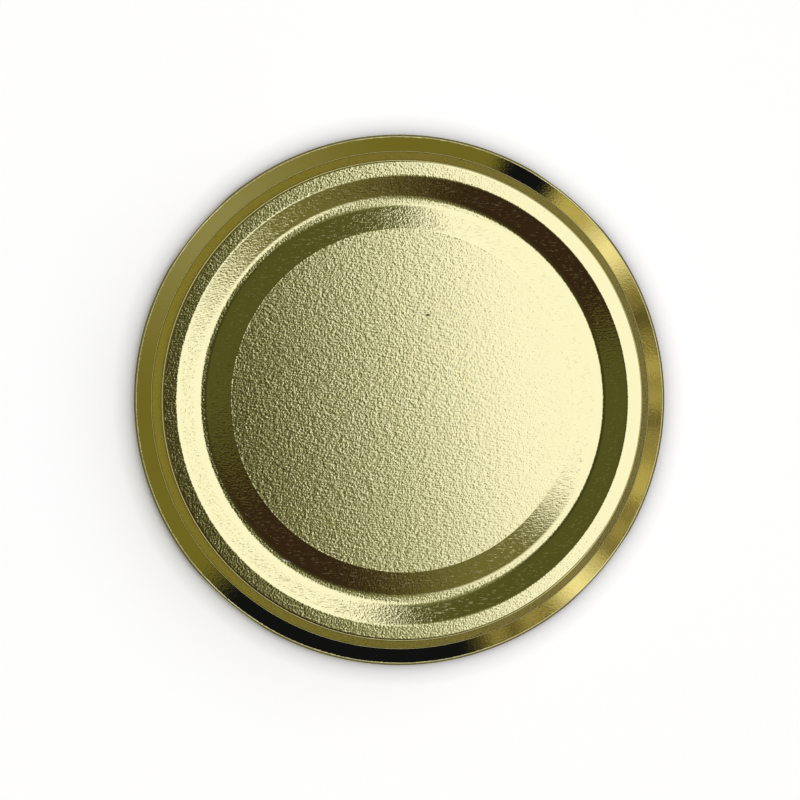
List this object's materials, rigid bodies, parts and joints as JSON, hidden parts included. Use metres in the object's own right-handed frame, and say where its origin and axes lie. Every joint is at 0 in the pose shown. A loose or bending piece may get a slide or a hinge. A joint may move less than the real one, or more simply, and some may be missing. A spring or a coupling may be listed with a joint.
{
  "type": "twist-off jar lid",
  "caption": "Gold-lacquered tinplate twist-off lid with a stepped top, a rolled rim with pressed lugs, and a sealing ring in its channel.",
  "frame": {"origin": "middle of the plane that the rolled rim rests on", "axes": "+Z along the lid's axis, from the open mouth up through the top"},
  "size_m": [0.0662, 0.0662, 0.0098],
  "materials": {
    "gold_tinplate": "glossy gold lacquer over rolled tinplate",
    "sealing_compound": "matt off-white plastisol"
  },
  "bodies": {
    "root": {"lid_shell": "gold_tinplate", "sealing_ring": "sealing_compound"}
  },
  "joints": []
}
